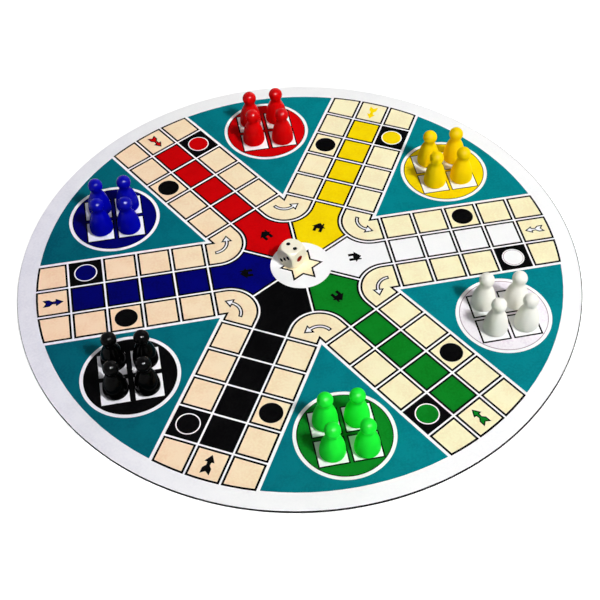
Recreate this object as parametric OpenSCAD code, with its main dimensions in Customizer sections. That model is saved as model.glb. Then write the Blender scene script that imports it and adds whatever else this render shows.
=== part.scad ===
// Round board for a six-player race game, with 24 pawns in their corner rings and one die.
// The origin is the centre of the board's underside, +Z is up,
// and the printed arm of the white player points along +X.

/* [Board] */
// Diameter of the round board
board_d = 400; // [350:5:450]
// Thickness of the dark card in the middle of the board
core_t = 1.2; // [0.8:0.1:3]
// Thickness of the printed playing sheet on top of the card
sheet_t = 0.2; // [0.1:0.05:0.5]
// Thickness of the black paper on the underside
backing_t = 0.1; // [0.05:0.05:0.3]
// Distance of a starting ring's centre from the board's centre
ring_distance = 147.5; // [120:0.5:150]

/* [Pawn] */
// Height of a pawn
pawn_h = 30; // [28:0.5:34]
// Largest diameter of a pawn's body
pawn_d = 17; // [16:0.5:17.5]
// Diameter of the round head
head_d = 10.5; // [9.5:0.5:11]
// Radius of the rounded lower edge, which ends where the body is widest
foot_r = 2; // [0.5:0.5:3]
// Radius of the long arc from the widest place up to the neck
flank_r = 34; // [32:1:60]
// Radius of the hollow arc between that and the head
neck_r = 4; // [1:0.5:5]
// Width of the shallow dish under the foot
dish_d = 10; // [6:0.5:11]
// Depth of that dish
dish_depth = 1.2; // [0.5:0.1:2]

/* [Die] */
// Side of the die
die_side = 15; // [12:0.5:18]
// Radius of the ball that rounds the die's corners, as a share of its side
corner_share = 0.7; // [0.65:0.01:0.8]
// Distance of the outer pips from the middle of a face, as a share of the side
pip_share = 0.22; // [0.18:0.01:0.25]
// Diameter of a pip
pip_d = 3; // [2:0.1:3.4]
// Depth of a pip
pip_depth = 0.6; // [0.3:0.1:0.9]
// Diameter of the large single pip
ace_d = 5; // [3:0.1:6]
// Depth of the large single pip
ace_depth = 0.8; // [0.4:0.1:1.2]
// Place of the die from left to right
die_x = -5.5; // [-20:0.5:20]
// Place of the die from front to back
die_y = 5.5; // [-20:0.5:20]
// Turn of the die about the upright axis
die_turn = -54; // [-180:1:180]

/* [Hidden] */
$fn = 96;
board_t = backing_t + core_t + sheet_t;
pawn_r = pawn_d / 2;
head_r = head_d / 2;
head_z = pawn_h - head_r;
dish_ball_r = (dish_d * dish_d / 4 + dish_depth * dish_depth) / (2 * dish_depth);

// The hollow arc of the neck touches the long flank arc below it and the ball of the head above it
flank_centre = [pawn_r - flank_r, foot_r];
head_centre = [0, head_z];
to_flank = flank_r + neck_r;
to_head = head_r + neck_r;
between = head_centre - flank_centre;
gap = norm(between);
along = (gap * gap + to_flank * to_flank - to_head * to_head) / (2 * gap);
across = sqrt(to_flank * to_flank - along * along);
neck_centre = flank_centre + (along * between + across * [between[1], -between[0]]) / gap;
flank_top = flank_centre + (neck_centre - flank_centre) * flank_r / to_flank;
head_low = head_centre + (neck_centre - head_centre) * head_r / to_head;

// Each team: its name, its colour, the direction of its starting ring, and where its four
// pawns stand from the ring's centre: front left, front right, back right, back left.
TEAMS = [
  ["yellow", "gold", 30, [[-11.5, -10.5], [9.5, -10], [10, 12.5], [-10.5, 13]]],
  ["red", "crimson", 90, [[-11.5, -9.5], [11, -12.5], [10.5, 12.5], [-10.5, 12]]],
  ["blue", "mediumblue", 150, [[-9, -9.5], [11, -12], [12, 10.5], [-8.5, 11]]],
  ["black", "dimgray", 210, [[-11, -10.5], [9.5, -11.5], [10.5, 10.5], [-10.5, 13]]],
  ["green", "limegreen", 270, [[-10.5, -11.5], [11.5, -13], [10, 10.5], [-10.5, 11.5]]],
  ["white", "ivory", 330, [[-9, -10.5], [13, -11], [12, 9.5], [-10.5, 12.5]]]
];

function pawn_name(team, number) = str(team[0], "_pawn_", number);

BOARD_NODES = ["backing_sheet", "board_core", "playing_sheet"];
PAWN_NODES = [for (team = TEAMS) for (number = [1:4]) pawn_name(team, number)];

// Black paper that the board lies on
module backing_sheet() {
  color("black")
    cylinder(h = backing_t, d = board_d);
}

// Dark card that gives the board its stiffness
module board_core() {
  color("darkslategray")
    translate([0, 0, backing_t])
      cylinder(h = core_t, d = board_d);
}

// Printed sheet with a pale rim around a teal field
module playing_sheet() {
  color("darkcyan")
    translate([0, 0, backing_t + core_t])
      cylinder(h = sheet_t, d = board_d);
}

// Half outline of the body: a rounded foot, then one long arc leaning in to the neck
module body_outline() {
  translate([pawn_r - foot_r, foot_r])
    circle(r = foot_r);
  square([pawn_r - foot_r, foot_r]);
  intersection() {
    translate(flank_centre)
      circle(r = flank_r, $fn = 360);
    translate([0, foot_r])
      square([pawn_r, flank_top[1] - foot_r]);
  }
}

// Half outline of the hollow neck
module neck_outline() {
  difference() {
    polygon([[0, flank_top[1]], flank_top, head_low, [0, head_low[1]]]);
    translate(neck_centre)
      circle(r = neck_r);
  }
}

// Half outline of the ball head
module head_outline() {
  intersection() {
    translate(head_centre)
      circle(r = head_r);
    translate([0, head_low[1]])
      square([head_r, pawn_h - head_low[1]]);
  }
}

// Whole pawn on its axis, with a shallow dish under its foot
module pawn_shape() {
  difference() {
    rotate_extrude() {
      body_outline();
      neck_outline();
      head_outline();
    }
    translate([0, 0, dish_depth - dish_ball_r])
      sphere(r = dish_ball_r);
  }
}

// One pawn, standing where its team and number put it
module pawn(team, number) {
  stand = team[3][number - 1];
  color(team[1])
    translate([ring_distance * cos(team[2]), ring_distance * sin(team[2]), board_t])
      translate([stand[0], stand[1], 0])
        pawn_shape();
}

// Cutter for one pip, at a place on the die's upper face
module pip(place, width, depth) {
  ball_r = (width * width / 4 + depth * depth) / (2 * depth);
  translate([place[0], place[1], die_side / 2 + ball_r - depth])
    sphere(r = ball_r);
}

// Pips of one face, laid out on its upper side
module pips(count) {
  step = pip_share * die_side;
  diagonal = [[-step, -step], [step, step]];
  corners = concat(diagonal, [[-step, step], [step, -step]]);
  places =
    count == 2 ? [[-step, 0], [step, 0]] :
    count == 3 ? concat([[0, 0]], diagonal) :
    count == 4 ? corners :
    count == 5 ? concat([[0, 0]], corners) :
    concat([[-step, 0], [step, 0]], corners);
  for (place = places) {
    pip(place, pip_d, pip_depth);
  }
}

// Die with a two on top, a one and a three facing front, and sevens on opposite faces
module die() {
  color("ivory")
    translate([die_x, die_y, board_t + die_side / 2])
      rotate([0, 0, die_turn])
        difference() {
          intersection() {
            cube(die_side, center = true);
            sphere(r = corner_share * die_side);
          }
          pips(2);
          rotate([180, 0, 0])
            pips(5);
          rotate([0, 90, 0])
            pip([0, 0], ace_d, ace_depth);
          rotate([0, -90, 0])
            pips(6);
          rotate([90, 0, 0])
            pips(3);
          rotate([-90, 0, 0])
            pips(4);
        }
}

backing_sheet();
board_core();
playing_sheet();
for (team = TEAMS) {
  for (number = [1:4]) {
    pawn(team, number);
  }
}
die();
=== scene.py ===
import math
import bpy
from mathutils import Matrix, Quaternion, Vector


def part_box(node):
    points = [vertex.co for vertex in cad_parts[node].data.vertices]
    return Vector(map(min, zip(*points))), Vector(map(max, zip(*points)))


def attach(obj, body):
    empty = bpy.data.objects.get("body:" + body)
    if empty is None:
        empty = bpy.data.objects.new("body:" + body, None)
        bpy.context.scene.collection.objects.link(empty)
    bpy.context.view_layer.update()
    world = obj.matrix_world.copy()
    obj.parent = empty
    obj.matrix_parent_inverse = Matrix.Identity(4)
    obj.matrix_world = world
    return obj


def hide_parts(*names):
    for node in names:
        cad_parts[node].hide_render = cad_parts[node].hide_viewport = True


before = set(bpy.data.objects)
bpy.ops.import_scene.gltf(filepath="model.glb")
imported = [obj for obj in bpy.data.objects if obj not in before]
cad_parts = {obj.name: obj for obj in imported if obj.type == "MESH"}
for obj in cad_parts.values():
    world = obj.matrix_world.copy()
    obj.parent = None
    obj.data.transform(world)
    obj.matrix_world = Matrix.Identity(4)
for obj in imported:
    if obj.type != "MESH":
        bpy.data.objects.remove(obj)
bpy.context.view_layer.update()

mm = 0.001
teams = ["white", "yellow", "red", "blue", "black", "green"]  # counter-clockwise from +X
armTurn = 60   # degrees from one arm to the next
halfTurn = 30  # and from an arm to the corner beside it


# helpers that every piece uses

def toLinear(hexColour):  # sRGB hex value to the linear colour that a socket takes
    channels = [int(hexColour[i:i + 2], 16) / 255 for i in (1, 3, 5)]
    return (*[c / 12.92 if c <= 0.04045 else ((c + 0.055) / 1.055) ** 2.4 for c in channels], 1)


def addNode(tree, kind, sockets={}, **settings):
    node = tree.nodes.new(kind)
    for name, value in settings.items():
        setattr(node, name, value)
    for name, value in sockets.items():
        if isinstance(value, bpy.types.NodeSocket):
            tree.links.new(value, node.inputs[name])
        else:
            node.inputs[name].default_value = toLinear(value) if isinstance(value, str) else value
    return node


def newMaterial(name):
    material = bpy.data.materials.new(name)
    material.use_nodes = True
    material.node_tree.nodes.clear()
    place = addNode(material.node_tree, "ShaderNodeTexCoord").outputs["Object"]
    return material, material.node_tree, place


def finishMaterial(tree, sockets):
    surface = addNode(tree, "ShaderNodeBsdfPrincipled", sockets)
    addNode(tree, "ShaderNodeOutputMaterial", {"Surface": surface.outputs["BSDF"]})


def deselectAll():
    if bpy.context.object and bpy.context.object.mode != "OBJECT":
        bpy.ops.object.mode_set(mode="OBJECT")
    bpy.ops.object.select_all(action="DESELECT")


def useTool(piece, modifier):
    deselectAll()
    piece.select_set(True)
    bpy.context.view_layer.objects.active = piece
    bpy.ops.object.modifier_apply(modifier=modifier.name)


def joined(pieces, name):
    deselectAll()
    for piece in pieces:
        piece.select_set(True)
    bpy.context.view_layer.objects.active = pieces[0]
    if len(pieces) > 1:
        bpy.ops.object.join()
    whole = bpy.context.object
    whole.name = name
    bpy.ops.object.mode_set(mode="EDIT")
    bpy.ops.mesh.select_all(action="SELECT")
    bpy.ops.mesh.normals_make_consistent(inside=False)
    bpy.ops.object.mode_set(mode="OBJECT")
    return whole


def settle(piece, body, material, nodes=()):
    deselectAll()
    piece.select_set(True)
    bpy.context.view_layer.objects.active = piece
    bpy.ops.object.transform_apply(location=True, rotation=True, scale=True)
    piece.data.materials.clear()
    piece.data.materials.append(material)
    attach(piece, body)
    if nodes:
        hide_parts(*nodes)


# offset-printed paper under a matt film: dense ink with hardly any shine, a little cloudy and fibrous
paperLook = {
    "cloud": 14 * mm,     # slow unevenness of the ink
    "mottle": 1.6 * mm,   # small blotches of the print
    "fibre": 0.35 * mm,   # real fibres are finer; drawn this coarse so that they show
    "blotchFrom": 0.18,   # the noise at which a blotch begins
    "blotchFull": 0.36,
    "blotchShare": 0.85,  # how much of the blotch's colour shows at most
    "roughness": (0.5, 0.7),
    "relief": 0.012 * mm,
    "reliefShare": 0.35,
    "ior": 1.48,
    "shine": 0.004,
}


def printedPaper(name, look):
    material, tree, place = newMaterial(name)
    cloud = addNode(tree, "ShaderNodeTexNoise", {
        "Vector": place, "Scale": 1 / paperLook["cloud"], "Detail": 2.0})
    mottle = addNode(tree, "ShaderNodeTexNoise", {
        "Vector": place, "Scale": 1 / paperLook["mottle"], "Detail": 4.0})
    fibre = addNode(tree, "ShaderNodeTexNoise", {
        "Vector": place, "Scale": 1 / paperLook["fibre"], "Detail": 2.0})
    spots = addNode(tree, "ShaderNodeMath", {
        0: cloud.outputs["Fac"], 1: mottle.outputs["Fac"]}, operation="MULTIPLY")
    share = addNode(tree, "ShaderNodeMapRange", {
        "Value": spots.outputs[0], "From Min": paperLook["blotchFrom"], "From Max": paperLook["blotchFull"],
        "To Max": paperLook["blotchShare"]})
    axes = addNode(tree, "ShaderNodeSeparateXYZ", {"Vector": place})
    # painted shade: along X the ink and its blotches turn to their darker left-hand tones
    left = addNode(tree, "ShaderNodeMapRange", {
        "Value": axes.outputs["X"], "From Min": look["from"] * mm, "From Max": look["to"] * mm})
    inkWithPaintedShade = addNode(tree, "ShaderNodeMix", {
        0: left.outputs["Result"], 6: look["ink"][0], 7: look["ink"][1]}, data_type="RGBA")
    blotchWithPaintedShade = addNode(tree, "ShaderNodeMix", {
        0: left.outputs["Result"], 6: look["blotch"][0], 7: look["blotch"][1]}, data_type="RGBA")
    colour = addNode(tree, "ShaderNodeMix", {
        0: share.outputs["Result"], 6: inkWithPaintedShade.outputs[2], 7: blotchWithPaintedShade.outputs[2]}, data_type="RGBA")
    smooth, coarse = paperLook["roughness"]
    rough = addNode(tree, "ShaderNodeMapRange", {
        "Value": mottle.outputs["Fac"], "To Min": smooth, "To Max": coarse})
    bump = addNode(tree, "ShaderNodeBump", {
        "Height": fibre.outputs["Fac"], "Strength": paperLook["reliefShare"],
        "Distance": paperLook["relief"]})
    finishMaterial(tree, {
        "Base Color": colour.outputs[2], "Roughness": rough.outputs["Result"],
        "Normal": bump.outputs["Normal"], "IOR": paperLook["ior"], "Specular IOR Level": paperLook["shine"]})
    return material


# each ink and its blotches, at the right and at the left of the board, and the places along X between which
# the one tone turns into the other; the tone at the left is painted shade: the ink darkened, the cream also
# warmer and the white bluer, where the board gets less light
inks = {
    "teal": {"ink": ("#03848D", "#03596A"), "blotch": ("#037882", "#034D5F"), "from": 40, "to": -185},
    "cream": {"ink": ("#FDF6CC", "#FBDABB"), "blotch": ("#F8EABE", "#F5CCAA"), "from": 60, "to": -150},
    "black": {"ink": ("#020203", "#020203"), "blotch": ("#080809", "#080809"), "from": 0, "to": -100},
    "white": {"ink": ("#FCFCFC", "#F0EEF8"), "blotch": ("#F8F8F9", "#E7E5F1"), "from": -70, "to": -185},
    "yellow": {"ink": ("#FADC05", "#FADC05"), "blotch": ("#F3D004", "#F3D004"), "from": 0, "to": -100},
    "red": {"ink": ("#D20106", "#CA0105"), "blotch": ("#C60105", "#BC0105"), "from": 0, "to": -100},
    "blue": {"ink": ("#000274", "#000262"), "blotch": ("#00015E", "#00014E"), "from": -40, "to": -185},
    "green": {"ink": ("#0A8222", "#0A8222"), "blotch": ("#08761B", "#08761B"), "from": 0, "to": -100},
    "lavender": {"ink": ("#F9F4F9", "#F9F4F9"), "blotch": ("#EBE0EB", "#EBE0EB"), "from": 0, "to": -100},
    "mauve": {"ink": ("#B5A1AB", "#B5A1AB"), "blotch": ("#A08A96", "#A08A96"), "from": 0, "to": -100},
}
inkMaterials = {ink: printedPaper(f"printedPaper{ink.capitalize()}", look) for ink, look in inks.items()}
print("printed papers ready")


# greyboard dyed black: a dull, fibrous cut edge
cardLook = {
    "fibre": 1.2 * mm,
    "layering": 9,  # the fibres lie flat, so their pattern is this many times finer upwards
    "contrast": (0.35, 0.7),
    "colours": ("#070708", "#191718"),
    "roughness": 0.85,
    "relief": 0.08 * mm,
    "reliefShare": 0.6,
    "shine": 0.03,
}


def greyboard():
    material, tree, place = newMaterial("dyedGreyboard")
    layers = addNode(tree, "ShaderNodeMapping", {"Vector": place, "Scale": (1, 1, cardLook["layering"])})
    fibres = addNode(tree, "ShaderNodeTexNoise", {
        "Vector": layers.outputs["Vector"], "Scale": 1 / cardLook["fibre"], "Detail": 5.0})
    faint, full = cardLook["contrast"]
    share = addNode(tree, "ShaderNodeMapRange", {
        "Value": fibres.outputs["Fac"], "From Min": faint, "From Max": full})
    dark, light = cardLook["colours"]
    colour = addNode(tree, "ShaderNodeMix", {
        0: share.outputs["Result"], 6: dark, 7: light}, data_type="RGBA")
    bump = addNode(tree, "ShaderNodeBump", {
        "Height": fibres.outputs["Fac"], "Strength": cardLook["reliefShare"], "Distance": cardLook["relief"]})
    finishMaterial(tree, {
        "Base Color": colour.outputs[2], "Roughness": cardLook["roughness"],
        "Normal": bump.outputs["Normal"], "Specular IOR Level": cardLook["shine"]})
    return material


# uncoated black paper: matt, with a faint cloudy nap
backingLook = {
    "nap": 0.8 * mm,
    "colours": ("#08080A", "#161517"),
    "roughness": 0.9,
    "relief": 0.02 * mm,
    "reliefShare": 0.4,
    "shine": 0.03,
}


def backingPaper():
    material, tree, place = newMaterial("uncoatedBlackPaper")
    nap = addNode(tree, "ShaderNodeTexNoise", {
        "Vector": place, "Scale": 1 / backingLook["nap"], "Detail": 4.0})
    dark, light = backingLook["colours"]
    colour = addNode(tree, "ShaderNodeMix", {
        0: nap.outputs["Fac"], 6: dark, 7: light}, data_type="RGBA")
    bump = addNode(tree, "ShaderNodeBump", {
        "Height": nap.outputs["Fac"], "Strength": backingLook["reliefShare"],
        "Distance": backingLook["relief"]})
    finishMaterial(tree, {
        "Base Color": colour.outputs[2], "Roughness": backingLook["roughness"],
        "Normal": bump.outputs["Normal"], "Specular IOR Level": backingLook["shine"]})
    return material


# the board: three glued layers, each a disc with its cut edge slightly rounded
board = {
    "radius": 199.9 * mm,
    "sheetRadius": 199.5 * mm,  # the paper ends just inside the card, whose dark edge shows round it
    "sheetShift": (-0.16 * mm, 0.26 * mm),  # glued a little off centre: the dark edge is widest in front
    "sides": 256,
    "inkRoom": 0.14 * mm,  # the sheet stops this far below its full height, and the ink fills the rest
    "edgeRound": {"backing_sheet": 0.03 * mm, "board_core": 0.25 * mm, "playing_sheet": 0.06 * mm},
    "edgeSegments": 3,
    "sharpAngle": 40,   # an edge that bends more than this is rounded
    "smoothAngle": 25,  # and one that bends less than this is shaded smooth
}


def boardLayer(name, node, radius, low, high, material, shift=(0, 0)):
    deselectAll()
    bpy.ops.mesh.primitive_circle_add(
        vertices=board["sides"], radius=radius, fill_type="NGON", location=(*shift, low))
    layer = bpy.context.object
    layer.name = name
    bpy.ops.object.mode_set(mode="EDIT")
    bpy.ops.mesh.select_all(action="SELECT")
    bpy.ops.mesh.extrude_region_move(TRANSFORM_OT_translate={"value": (0, 0, high - low)})
    bpy.ops.mesh.select_all(action="SELECT")
    bpy.ops.mesh.normals_make_consistent(inside=False)
    bpy.ops.object.mode_set(mode="OBJECT")
    rounding = layer.modifiers.new("edge", "BEVEL")
    rounding.width = board["edgeRound"][node]
    rounding.segments = board["edgeSegments"]
    rounding.limit_method = "ANGLE"
    rounding.angle_limit = math.radians(board["sharpAngle"])
    useTool(layer, rounding)
    bpy.ops.object.shade_smooth_by_angle(angle=math.radians(board["smoothAngle"]))
    settle(layer, "board", material, [node])


def makeBoard():
    backLow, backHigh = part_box("backing_sheet")
    coreLow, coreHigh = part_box("board_core")
    sheetLow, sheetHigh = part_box("playing_sheet")
    wide, narrow = board["radius"], board["sheetRadius"]
    top = sheetHigh.z - board["inkRoom"]
    # the white sheet takes the white ink, with its painted shade towards the left
    paper, shift = inkMaterials["white"], board["sheetShift"]
    boardLayer("backingPaper", "backing_sheet", wide, backLow.z, backHigh.z, backingPaper())
    boardLayer("cutCard", "board_core", wide, coreLow.z, coreHigh.z, greyboard())
    boardLayer("whiteSheet", "playing_sheet", narrow, sheetLow.z, top, paper, shift)
    print("board layers ready")
    return top


paperTop = makeBoard()

# the print, in millimetres: u runs out along an arm, v across it, and each ink lies in a thin layer
layout = {
    "fieldRadius": 186.5,
    "columnPitch": 23.9,
    "rowPitch": 24.45,
    "firstRow": 65.75,
    "rows": 5,
    "armEdge": 35.4,        # middle of the line that bounds an outer column
    "armWhite": 36.8,       # outer edge of the white line beside an arm
    "armEnd": 187.7,        # radius of the line that ends an arm
    "whiteHalf": 0.65,      # half of the white line between two squares
    "blackLine": 1.45,      # black line round a square
    "bendCentre": 65.65,    # distance of a corner bend's centre from the board's centre
    "bendRadius": 20.9,
    "notchEdge": 35.05,
    "homeTip": 0.1,         # distance of a home field's point from the board's centre
    "hubRadius": 22.0,
    "startRow": 3,
    "safeRow": 2,
    "startDisc": 8.1,
    "startRing": 0.75,
    "paleLine": 0.4,        # line in the white team's starting disc
    "safeDisc": 7.9,
    "ringRadius": 33.3,
    "ringFill": 30.9,
    "ringEdge": 0.6,        # dark line just inside the white ring
    "ringSquare": (0.84, 21.45),
    "ringLine": {"yellow": 0.7, "red": 1.0, "blue": 1.0, "black": 1.0, "green": 1.0, "white": 1.2},
    "ringDistance": 147.5,
    "ringShift": {"yellow": -1.3, "red": 0, "blue": 1.0, "black": -0.9, "green": 0, "white": 0.7},
    "arrowTip": 168.0,      # distance of an entry arrow's tip from the board's centre
    "arrowLine": 0.85,
    "house": 39.0,          # and of a house mark's middle
}
levels = {
    "field": 0.02, "lines": 0.04, "outline": 0.06, "fill": 0.08, "mark": 0.10, "detail": 0.12, "top": 0.14}
patches = {ink: [] for ink in inks}


def around(centreU, centreV, radius, degrees):
    angle = math.radians(degrees)
    return (centreU + radius * math.cos(angle), centreV + radius * math.sin(angle))


def arc(centreU, centreV, radius, start, end, step=3.0):
    steps = max(1, math.ceil(abs(end - start) / step))
    return [around(centreU, centreV, radius, start + (end - start) * i / steps) for i in range(steps + 1)]


def disc(centreU, centreV, radius):
    return arc(centreU, centreV, radius, 0, 360)[:-1]


def mirrored(outline):
    return outline + [(u, -v) for u, v in reversed(outline) if abs(v) > 0.001]


def turned(outline, degrees):
    c, s = math.cos(math.radians(degrees)), math.sin(math.radians(degrees))
    return [(u * c - v * s, u * s + v * c) for u, v in outline]


def moved(outline, du, dv):
    return [(u + du, v + dv) for u, v in outline]


def shrunk(outline, distance):  # every edge of a counter-clockwise outline moves in by the distance
    corners = [Vector(corner) for corner in outline]
    result = []
    for i, corner in enumerate(corners):
        before = (corner - corners[i - 1]).normalized()
        after = (corners[(i + 1) % len(corners)] - corner).normalized()
        inwards = Vector((-before.y - after.y, before.x + after.x))
        result.append(corner + inwards * distance / (1 + before.dot(after)))
    return [(corner.x, corner.y) for corner in result]


def lay(ink, level, outline):
    deselectAll()
    bpy.ops.mesh.primitive_circle_add(vertices=len(outline), radius=10 * mm, fill_type="NGON")
    patch = bpy.context.object
    for corner, (x, y) in zip(patch.data.vertices, outline):  # from the round to the outline's own shape
        corner.co = (x * mm, y * mm, paperTop)
    bpy.ops.object.mode_set(mode="EDIT")
    bpy.ops.mesh.select_all(action="SELECT")
    bpy.ops.mesh.extrude_region_move(TRANSFORM_OT_translate={"value": (0, 0, levels[level] * mm)})
    bpy.ops.object.mode_set(mode="OBJECT")
    patches[ink].append(patch)


def outlined(ink, outline, turn):  # a square with its black line, inside the white lines round it
    white, black = layout["whiteHalf"], layout["blackLine"]
    lay("black", "outline", turned(shrunk(outline, white), turn))
    if ink != "black":
        lay(ink, "fill", turned(shrunk(outline, white + black), turn))


def squareOutline(column, row):
    half = layout["columnPitch"] / 2
    low = (-layout["armEdge"], -half, half)[column + 1]
    high = (-half, half, layout["armEdge"])[column + 1]
    near = layout["firstRow"] + row * layout["rowPitch"]
    if row < layout["rows"] - 1:
        far = near + layout["rowPitch"]
        return [(near, low), (far, low), (far, high), (near, high)]
    end = layout["armEnd"]
    bounds = [math.degrees(math.asin(side / end)) for side in (low, high)]
    return [(near, low)] + arc(0, 0, end, *bounds) + [(near, high)]


def homeOutline():
    half, reach, radius = layout["columnPitch"] / 2, layout["bendCentre"], layout["bendRadius"]
    side = [(layout["firstRow"], half), *arc(*around(0, 0, reach, halfTurn), radius, -90, -150)]
    return mirrored([*side, (layout["homeTip"], 0)])


def cornerOutline():  # in the frame of the line that halves the corner
    half, reach, radius = layout["columnPitch"] / 2, layout["bendCentre"], layout["bendRadius"]
    first, notch = layout["firstRow"], layout["notchEdge"]
    arm = turned([(first, notch), (first, half)], -halfTurn)
    tip = (notch / math.sin(math.radians(halfTurn)), 0)
    side = [tip, *arm, *arc(reach, 0, radius, -120, -180)]
    return list(reversed([*side[:-1], (reach - radius, 0), *[(u, -v) for u, v in reversed(side[1:-1])]]))


turnArrow = {
    "radius": 9.5, "half": 1.5, "start": 118, "end": 208, "head": 4.2, "length": 6.4, "line": 1.0,
    "inwards": 1.4,  # its centre is the tip of a notch that is drawn this much narrower
}


def turnArrowOutline():  # a bent arrow round the corner's notch, in the direction of play
    a = turnArrow
    centre = (layout["notchEdge"] - a["inwards"]) / math.sin(math.radians(halfTurn))
    inner = arc(centre, 0, a["radius"] - a["half"], a["end"], a["start"])
    outer = arc(centre, 0, a["radius"] + a["half"], a["start"], a["end"])
    barbs = [around(centre, 0, a["radius"] + side * a["head"], a["end"]) for side in (1, -1)]
    tip = around(*around(centre, 0, a["radius"], a["end"]), a["length"], a["end"] + 90)
    return [*outer, barbs[0], tip, barbs[1], *inner]


# feathered arrow on the entry square, from its tip outwards
entryArrow = [(0, 0), (5.4, -3.4), (5.6, -1.4), (7.9, -1.2), (10.0, -3.0), (14.6, -3.1), (12.4, 0)]
houseMark = [  # body with a door, roof with eaves, chimney; the roof points outwards
    (-4, 3.4), (-4, 1.1), (-0.8, 1.1), (-0.8, -1.1), (-4, -1.1), (-4, -3.4), (0.4, -3.4), (0.4, -5.2),
    (2.25, -3.2), (4.9, -3.2), (4.9, -2.0), (3.35, -2.0), (5.2, 0), (0.4, 5.2), (0.4, 3.4)]
starPoints = {"outer": 16.0, "inner": 9.2, "line": 1.3}


def armsOutline():  # all six arms as one shape, which is the white of their lines
    side, radius = layout["armWhite"], layout["fieldRadius"]
    halfAngle = math.degrees(math.asin(side / radius))
    corner = around(0, 0, side / math.sin(math.radians(halfTurn)), halfTurn)
    arm = [*arc(0, 0, radius, -halfAngle, halfAngle), corner]
    return [point for i in range(len(teams)) for point in turned(arm, armTurn * i)]


def printArm(team, turn):
    for column in (-1, 0, 1):
        for row in range(layout["rows"]):
            coloured = column == 0 and row < layout["rows"] - 1
            start = column == -1 and row == layout["startRow"]
            outlined(team if coloured else "black" if start else "cream", squareOutline(column, row), turn)
    middle = [layout["firstRow"] + (row + 0.5) * layout["rowPitch"] for row in range(layout["rows"])]
    across = (layout["columnPitch"] / 2 + layout["armEdge"]) / 2  # middle of an outer column
    ring = disc(middle[layout["startRow"]], -across, layout["startDisc"])
    lay("white", "mark", turned(ring, turn))
    if team == "white":  # a pale line, as white on white would not show
        lay("mauve", "detail", turned(shrunk(ring, layout["startRing"]), turn))
        lay("white", "top", turned(shrunk(ring, layout["startRing"] + layout["paleLine"]), turn))
    else:
        lay(team, "detail", turned(shrunk(ring, layout["startRing"]), turn))
    lay("black", "mark", turned(disc(middle[layout["safeRow"]], across, layout["safeDisc"]), turn))
    arrow = moved(mirrored(entryArrow), layout["arrowTip"], 0)
    lay(team if team == "yellow" else "black", "mark", turned(arrow, turn))
    if team not in ("yellow", "black"):
        lay(team, "detail", turned(shrunk(arrow, layout["arrowLine"]), turn))
    outlined(team, homeOutline(), turn)
    lay("black", "mark", turned(moved(houseMark, layout["house"], 0), turn))


def printCorner(turn):
    outlined("cream", cornerOutline(), turn)
    arrow = turnArrowOutline()
    lay("black", "mark", turned(arrow, turn))
    lay("white", "detail", turned(shrunk(arrow, turnArrow["line"]), turn))


def printRing(team, turn):
    x, y = around(0, 0, layout["ringDistance"], turn)
    x += layout["ringShift"][team]
    lay("white", "lines", disc(x, y, layout["ringRadius"]))
    lay("mauve" if team == "white" else "black", "outline", disc(x, y, layout["ringFill"]))
    lay("lavender" if team == "white" else team, "fill", disc(x, y, layout["ringFill"] - layout["ringEdge"]))
    near, far = layout["ringSquare"]
    for quarter in range(4):
        square = turned([(near, near), (far, near), (far, far), (near, far)], 90 * quarter)
        lay("black", "mark", moved(square, x, y))
        lay("white", "detail", moved(shrunk(square, layout["ringLine"][team]), x, y))


def printHub():
    lay("white", "mark", disc(0, 0, layout["hubRadius"]))
    radii = (starPoints["outer"], starPoints["inner"])
    star = [around(0, 0, radii[i % 2], halfTurn * i) for i in range(2 * len(teams))]
    lay("black", "detail", star)
    lay("cream", "top", shrunk(star, starPoints["line"]))


def makePrint():
    lay("teal", "field", disc(0, 0, layout["fieldRadius"]))
    lay("white", "lines", armsOutline())
    for i, team in enumerate(teams):
        printArm(team, armTurn * i)
        printCorner(armTurn * i + halfTurn)
        printRing(teams[(i + 1) % len(teams)], armTurn * i + halfTurn)
    printHub()
    for ink, inkPatches in patches.items():
        layer = joined(inkPatches, f"{ink}Ink")
        settle(layer, "board", inkMaterials[ink])
    print("print ready")


makePrint()


# moulded polystyrene: an even, saturated colour right through, with a satin skin that shades softly;
# the dark colours show a small sharp glint, the light ones glow a little
plastics = {
    "white": {"colour": "#FDFCF4", "swirl": "#F7F5EA", "rough": (0.34, 0.44), "shine": 0.02, "glow": 0.06},
    "yellow": {"colour": "#FFDE02", "swirl": "#FFD401", "rough": (0.36, 0.46), "shine": 0.01, "glow": 0.06},
    "red": {"colour": "#E00306", "swirl": "#CE0305", "rough": (0.08, 0.12), "shine": 0.04, "glow": 0.02},
    "blue": {"colour": "#0103B0", "swirl": "#01039C", "rough": (0.08, 0.11), "shine": 0.045, "glow": 0.0},
    "black": {"colour": "#010101", "swirl": "#030303", "rough": (0.08, 0.11), "shine": 0.035, "glow": 0.0},
    "green": {"colour": "#20F83C", "swirl": "#18EA33", "rough": (0.34, 0.44), "shine": 0.02, "glow": 0.06},
}
mouldLook = {
    "flow": 9 * mm,      # swirls left by the flow into the mould
    "ripple": 1.4 * mm,  # small ripples of the skin
    "relief": 0.05 * mm,
    "reliefShare": 0.08,
    "ior": 1.55,
    "glowDepth": 2 * mm,
}


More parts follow.
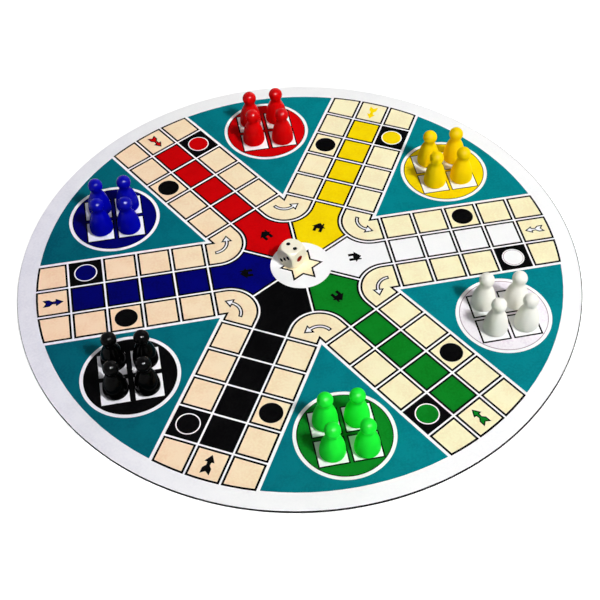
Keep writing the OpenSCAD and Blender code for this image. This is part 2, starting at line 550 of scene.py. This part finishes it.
def mouldedPlastic(team):
    look = plastics[team]
    material, tree, place = newMaterial(f"mouldedPolystyrene{team.capitalize()}")
    swirl = addNode(tree, "ShaderNodeTexNoise", {
        "Vector": place, "Scale": 1 / mouldLook["flow"], "Detail": 3.0})
    ripple = addNode(tree, "ShaderNodeTexNoise", {
        "Vector": place, "Scale": 1 / mouldLook["ripple"], "Detail": 2.0})
    colour = addNode(tree, "ShaderNodeMix", {
        0: swirl.outputs["Fac"], 6: look["colour"], 7: look["swirl"]}, data_type="RGBA")
    rough = addNode(tree, "ShaderNodeMapRange", {
        "Value": ripple.outputs["Fac"], "To Min": look["rough"][0], "To Max": look["rough"][1]})
    bump = addNode(tree, "ShaderNodeBump", {
        "Height": ripple.outputs["Fac"], "Strength": mouldLook["reliefShare"],
        "Distance": mouldLook["relief"]})
    finishMaterial(tree, {
        "Base Color": colour.outputs[2], "Roughness": rough.outputs["Result"],
        "Normal": bump.outputs["Normal"], "IOR": mouldLook["ior"], "Specular IOR Level": look["shine"],
        "Subsurface Weight": look["glow"], "Subsurface Radius": (1, 1, 1),
        "Subsurface Scale": mouldLook["glowDepth"]})
    return material


# a pawn, in millimetres: its outline is a chain of arcs, spun round the upright axis
pawn = {
    "height": 30, "radius": 8.5, "footRound": 2, "flankRadius": 34, "neckRound": 4, "headRadius": 5.25,
    "dishRadius": 5, "dishDepth": 1.2,
    "arcSteps": {"dish": 6, "foot": 9, "flank": 2, "neck": 7, "head": 6},  # degrees from point to point
    "steps": 64,
    "shortest": 0.01,  # points closer than this are one
    "weld": 0.005,
    "smoothAngle": 50,
}


def pawnProfile():  # half outline, from the dish under the foot up to the crown
    p, steps = pawn, pawn["arcSteps"]
    dishBall = (p["dishRadius"] ** 2 + p["dishDepth"] ** 2) / (2 * p["dishDepth"])
    dishAngle = math.degrees(math.asin(p["dishRadius"] / dishBall))
    flankX, flankZ, headZ = p["radius"] - p["flankRadius"], p["footRound"], p["height"] - p["headRadius"]
    toFlank, toHead = p["flankRadius"] + p["neckRound"], p["headRadius"] + p["neckRound"]
    rise = headZ - flankZ
    gap = math.hypot(flankX, rise)
    along = (gap ** 2 + toFlank ** 2 - toHead ** 2) / (2 * gap)
    aside = math.sqrt(toFlank ** 2 - along ** 2)
    neckX = flankX + (aside * rise - along * flankX) / gap
    neckZ = flankZ + (along * rise + aside * flankX) / gap
    flankEnd = math.degrees(math.atan2(neckZ - flankZ, neckX - flankX))
    headStart = math.degrees(math.atan2(neckZ - headZ, neckX))
    profile = [
        *arc(0, p["dishDepth"] - dishBall, dishBall, 90, 90 - dishAngle, steps["dish"]),
        *arc(p["radius"] - p["footRound"], p["footRound"], p["footRound"], -90, 0, steps["foot"]),
        *arc(flankX, flankZ, p["flankRadius"], 0, flankEnd, steps["flank"]),
        *arc(neckX, neckZ, p["neckRound"], flankEnd + 180, headStart + 180, steps["neck"]),
        *arc(0, headZ, p["headRadius"], headStart, 90, steps["head"])]
    return [profile[i] for i in range(len(profile))
            if i == 0 or math.dist(profile[i], profile[i - 1]) > p["shortest"]]


def spunShape(profile):
    points = [Vector((x * mm, 0, z * mm)) for x, z in profile]
    deselectAll()
    bpy.ops.mesh.primitive_plane_add(size=1 * mm)
    bpy.ops.object.mode_set(mode="EDIT")
    bpy.ops.mesh.merge(type="CENTER")  # one point, which is then drawn along the outline
    bpy.ops.transform.translate(value=points[0])
    for i, point in enumerate(points[1:]):
        bpy.ops.mesh.extrude_vertices_move(TRANSFORM_OT_translate={"value": point - points[i]})
    bpy.ops.mesh.select_all(action="SELECT")
    bpy.ops.mesh.spin(steps=pawn["steps"], angle=math.tau, center=(0, 0, 0), axis=(0, 0, 1))
    bpy.ops.mesh.select_all(action="SELECT")
    bpy.ops.mesh.remove_doubles(threshold=pawn["weld"] * mm)
    bpy.ops.mesh.normals_make_consistent(inside=False)
    bpy.ops.object.mode_set(mode="OBJECT")
    bpy.ops.object.shade_smooth_by_angle(angle=math.radians(pawn["smoothAngle"]))
    return bpy.context.object


def makePawns():
    model = spunShape(pawnProfile())
    for team in teams:
        plastic = mouldedPlastic(team)
        for number in range(1, 5):
            node = f"{team}_pawn_{number}"
            low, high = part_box(node)
            deselectAll()
            model.select_set(True)
            bpy.context.view_layer.objects.active = model
            bpy.ops.object.duplicate(linked=False)
            copy = bpy.context.object
            copy.name = f"{team}Pawn{number}"
            bpy.ops.transform.translate(value=((low.x + high.x) / 2, (low.y + high.y) / 2, low.z))
            settle(copy, node, plastic, [node])
    bpy.data.objects.remove(model, do_unlink=True)
    print("pawns ready")


makePawns()

# the die, in millimetres: a cube rounded by a ball, with a dimple for each pip
die = {
    "side": 15.0, "cornerBall": 10.5, "pipStep": 3.3,
    "pip": (3.0, 0.6), "ace": (5.0, 0.8),  # width and depth
    "turn": -54, "edge": 0.12, "edgeSegments": 2, "sharpAngle": 25, "smoothAngle": 40,
    "paintReach": 0.03,  # a face this close to a pip's ball belongs to its dimple
}

# moulded urea resin, tumbled to a polish: warm white, a little soft at the edges
ureaLook = {
    "cloud": 5 * mm, "haze": 0.9 * mm, "colours": ("#FAF5E2", "#F1E9D0"), "roughness": (0.24, 0.34),
    "relief": 0.05 * mm, "reliefShare": 0.06, "ior": 1.55, "shine": 0.25, "glow": 0.03, "glowDepth": 1.5 * mm,
}

# lacquer dabbed into the dimples: uneven, pooled here and thin there
lacquerLook = {
    "pool": 0.7 * mm, "roughness": (0.25, 0.4), "ior": 1.5, "shine": 0.02,
    "colours": {"Black": ("#060505", "#121110"), "Red": ("#6C0A05", "#86150B")},
}


def urea():
    look = ureaLook
    material, tree, place = newMaterial("tumbledUreaResin")
    cloud = addNode(tree, "ShaderNodeTexNoise", {"Vector": place, "Scale": 1 / look["cloud"], "Detail": 3.0})
    haze = addNode(tree, "ShaderNodeTexNoise", {"Vector": place, "Scale": 1 / look["haze"], "Detail": 2.0})
    colour = addNode(tree, "ShaderNodeMix", {
        0: cloud.outputs["Fac"], 6: look["colours"][0], 7: look["colours"][1]}, data_type="RGBA")
    rough = addNode(tree, "ShaderNodeMapRange", {
        "Value": haze.outputs["Fac"], "To Min": look["roughness"][0], "To Max": look["roughness"][1]})
    bump = addNode(tree, "ShaderNodeBump", {
        "Height": haze.outputs["Fac"], "Strength": look["reliefShare"], "Distance": look["relief"]})
    finishMaterial(tree, {
        "Base Color": colour.outputs[2], "Roughness": rough.outputs["Result"],
        "Normal": bump.outputs["Normal"], "IOR": look["ior"], "Specular IOR Level": look["shine"],
        "Subsurface Weight": look["glow"], "Subsurface Radius": (1, 1, 1),
        "Subsurface Scale": look["glowDepth"]})
    return material


def pipPaint(name):
    look = lacquerLook
    pooled, thin = look["colours"][name]
    material, tree, place = newMaterial(f"pipLacquer{name}")
    pool = addNode(tree, "ShaderNodeTexNoise", {"Vector": place, "Scale": 1 / look["pool"], "Detail": 3.0})
    paint = addNode(tree, "ShaderNodeMix", {0: pool.outputs["Fac"], 6: pooled, 7: thin}, data_type="RGBA")
    rough = addNode(tree, "ShaderNodeMapRange", {
        "Value": pool.outputs["Fac"], "To Min": look["roughness"][0], "To Max": look["roughness"][1]})
    finishMaterial(tree, {
        "Base Color": paint.outputs[2], "Roughness": rough.outputs["Result"], "IOR": look["ior"],
        "Specular IOR Level": look["shine"]})
    return material


def pipPlaces():
    step, face = die["pipStep"], die["side"] / 2
    corners = [(-step, -step), (step, step), (-step, step), (step, -step)]
    sides = [(-step, 0), (step, 0)]
    layouts = {"top": sides, "bottom": [(0, 0), *corners], "right": [(0, 0)], "left": sides + corners,
               "front": [(0, 0), *corners[:2]], "back": corners}
    onFace = {"top": lambda a, b, f: (a, b, f), "bottom": lambda a, b, f: (a, -b, -f),
              "right": lambda a, b, f: (f, b, -a), "left": lambda a, b, f: (-f, b, a),
              "front": lambda a, b, f: (a, -f, b), "back": lambda a, b, f: (a, f, -b)}
    balls = []
    for side, places in layouts.items():
        width, depth = die["ace"] if side == "right" else die["pip"]
        ball = (width * width / 4 + depth * depth) / (2 * depth)
        for a, b in places:
            balls.append((Vector(onFace[side](a, b, face + ball - depth)) * mm, ball * mm, side == "right"))
    return balls


def cutWith(piece, cutter, operation):
    cut = piece.modifiers.new("cut", "BOOLEAN")
    cut.object = cutter
    cut.operation = operation
    cut.solver = "EXACT"
    useTool(piece, cut)
    bpy.data.objects.remove(cutter, do_unlink=True)


def makeDie():
    deselectAll()
    bpy.ops.mesh.primitive_cube_add(size=die["side"] * mm)
    cube = bpy.context.object
    cube.name = "ivoryDie"
    bpy.ops.mesh.primitive_uv_sphere_add(segments=96, ring_count=48, radius=die["cornerBall"] * mm)
    cutWith(cube, bpy.context.object, "INTERSECT")
    balls = pipPlaces()
    cutters = []
    for place, radius, _ in balls:
        deselectAll()
        bpy.ops.mesh.primitive_uv_sphere_add(segments=32, ring_count=20, radius=radius, location=place)
        cutters.append(bpy.context.object)
    cutWith(cube, joined(cutters, "pipCutter"), "DIFFERENCE")
    rounding = cube.modifiers.new("edge", "BEVEL")
    rounding.width = die["edge"] * mm
    rounding.segments = die["edgeSegments"]
    rounding.limit_method = "ANGLE"
    rounding.angle_limit = math.radians(die["sharpAngle"])
    useTool(cube, rounding)
    bpy.ops.object.shade_smooth_by_angle(angle=math.radians(die["smoothAngle"]))
    low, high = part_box("die")
    paints = [pipPaint("Black"), pipPaint("Red")]
    reach = die["paintReach"] * mm
    marked = []  # for each face: 0 is resin, 1 is black lacquer, and 2 is the red of the single pip
    for face in cube.data.polygons:
        near = [isAce for place, radius, isAce in balls if (face.center - place).length < radius + reach]
        marked.append(2 if near and near[0] else 1 if near else 0)
    cube.rotation_euler.z = math.radians(die["turn"])
    cube.location = (low + high) / 2
    settle(cube, "die", urea(), ["die"])
    for paint in paints:
        cube.data.materials.append(paint)
    cube.data.polygons.foreach_set("material_index", marked)
    cube.data.update()
    print("die ready")


makeDie()

# stage: a plain pale floor, an even sky, a key and a fill lamp, and two bare bulbs that only show as the
# small glints on the glossy pieces; every lamp is aimed at the middle of the board
stage = {
    "floorSize": 8.0, "floorColour": "#F2F2F2", "floorCloud": "#EFEFEF", "cloud": 40 * mm,
    "floorLift": 0.45,  # glow of the floor where it is seen; it rises to 1 from nearFloor to farFloor
    "nearFloor": 0.5,
    "farFloor": 1.8,
    "sky": 0.15,  # light of the sky on things; where it is seen it is 1
}
lamps = {
    "keyLamp": {
        "azimuth": -49, "elevation": 53, "distance": 4.5, "size": 0.8, "power": 170.0, "glintOnly": False},
    "frontGlint": {
        "azimuth": -92, "elevation": 56, "distance": 2.0, "size": 0.1, "power": 560.0, "glintOnly": True},
    "keyGlint": {
        "azimuth": -49, "elevation": 53, "distance": 2.0, "size": 0.1, "power": 280.0, "glintOnly": True},
    "fillLamp": {
        "azimuth": 52, "elevation": 38, "distance": 2.4, "size": 1.4, "power": 12.5, "glintOnly": False},
}


def shownRays(tree):  # 1 for what is seen straight or in a reflection, 0 for the light that falls on things
    rays = addNode(tree, "ShaderNodeLightPath").outputs
    bounced = addNode(tree, "ShaderNodeMath", {
        0: rays["Is Glossy Ray"], 1: rays["Is Transmission Ray"]}, operation="ADD")
    shown = addNode(tree, "ShaderNodeMath", {
        0: rays["Is Camera Ray"], 1: bounced.outputs[0]}, operation="ADD", use_clamp=True)
    return shown.outputs[0]


def floorMaterial():
    material, tree, place = newMaterial("paintedFloor")
    dust = addNode(tree, "ShaderNodeTexNoise", {"Vector": place, "Scale": 1 / stage["cloud"], "Detail": 4.0})
    colour = addNode(tree, "ShaderNodeMix", {
        0: dust.outputs["Fac"], 6: stage["floorColour"], 7: stage["floorCloud"]}, data_type="RGBA")
    paint = addNode(tree, "ShaderNodeBsdfDiffuse", {"Color": colour.outputs[2]})
    away = addNode(tree, "ShaderNodeVectorMath", {0: place}, operation="LENGTH")
    share = addNode(tree, "ShaderNodeMapRange", {
        "Value": away.outputs["Value"], "From Min": stage["nearFloor"], "From Max": stage["farFloor"],
        "To Min": stage["floorLift"]})
    lift = addNode(tree, "ShaderNodeMath", {
        0: shownRays(tree), 1: share.outputs["Result"]}, operation="MULTIPLY")
    glow = addNode(tree, "ShaderNodeEmission", {"Strength": lift.outputs[0]})
    both = addNode(tree, "ShaderNodeAddShader", {0: paint.outputs["BSDF"], 1: glow.outputs["Emission"]})
    addNode(tree, "ShaderNodeOutputMaterial", {"Surface": both.outputs["Shader"]})
    return material


def makeLamp(name, look):
    azimuth, elevation = math.radians(look["azimuth"]), math.radians(look["elevation"])
    towards = Vector((math.cos(azimuth) * math.cos(elevation), math.sin(azimuth) * math.cos(elevation),
                      math.sin(elevation)))
    deselectAll()
    bpy.ops.object.light_add(type="AREA", location=towards * look["distance"])
    lamp = bpy.context.object
    lamp.name = name
    lamp.rotation_euler = towards.to_track_quat("Z", "Y").to_euler()
    lamp.data.shape = "DISK"
    lamp.data.size = look["size"]
    lamp.data.energy = look["power"]
    lamp.visible_diffuse = not look["glintOnly"]


def makeStage():
    deselectAll()
    bpy.ops.mesh.primitive_plane_add(size=stage["floorSize"])
    floor = bpy.context.object
    floor.name = "floor"
    floor.data.materials.append(floorMaterial())

    world = bpy.data.worlds.new("sky")
    world.use_nodes = True
    bpy.context.scene.world = world
    tree = world.node_tree
    tree.nodes.clear()
    strength = addNode(tree, "ShaderNodeMapRange", {
        "Value": shownRays(tree), "To Min": stage["sky"], "To Max": 1.0})
    sky = addNode(tree, "ShaderNodeBackground", {"Color": "#FFFFFF", "Strength": strength.outputs["Result"]})
    addNode(tree, "ShaderNodeOutputWorld", {"Surface": sky.outputs["Background"]})
    for name, look in lamps.items():
        makeLamp(name, look)
    print("stage ready")


makeStage()

# the photograph's view: where the camera stands, found from the round edge and the printed grid
view = {
    "azimuth": -12.4, "elevation": 50.5, "roll": 0.53, "distance": 0.7608,
    "target": (0.01444, -0.04974, 0.0015),
    "imageSize": 600, "focalPixels": 1102.3, "centreX": 335.2, "centreY": 314.2,
    "sensorWidth": 36, "nearest": 0.01,
}


def makeCamera():
    azimuth, elevation = math.radians(view["azimuth"]), math.radians(view["elevation"])
    back = Vector((math.sin(azimuth) * math.cos(elevation), -math.cos(azimuth) * math.cos(elevation),
                   math.sin(elevation)))
    deselectAll()
    bpy.ops.object.camera_add(location=Vector(view["target"]) + back * view["distance"])
    camera = bpy.context.object
    turn = back.to_track_quat("Z", "Y") @ Quaternion((0, 0, 1), math.radians(view["roll"]))
    camera.rotation_euler = turn.to_euler()
    size = view["imageSize"]
    camera.data.sensor_width = view["sensorWidth"]
    camera.data.lens = view["focalPixels"] / size * view["sensorWidth"]
    camera.data.shift_x = (size / 2 - view["centreX"]) / size
    camera.data.shift_y = (view["centreY"] - size / 2) / size
    camera.data.clip_start = view["nearest"]
    bpy.context.scene.camera = camera
    bpy.context.scene.view_settings.view_transform = "Standard"
    print("camera ready")


makeCamera()
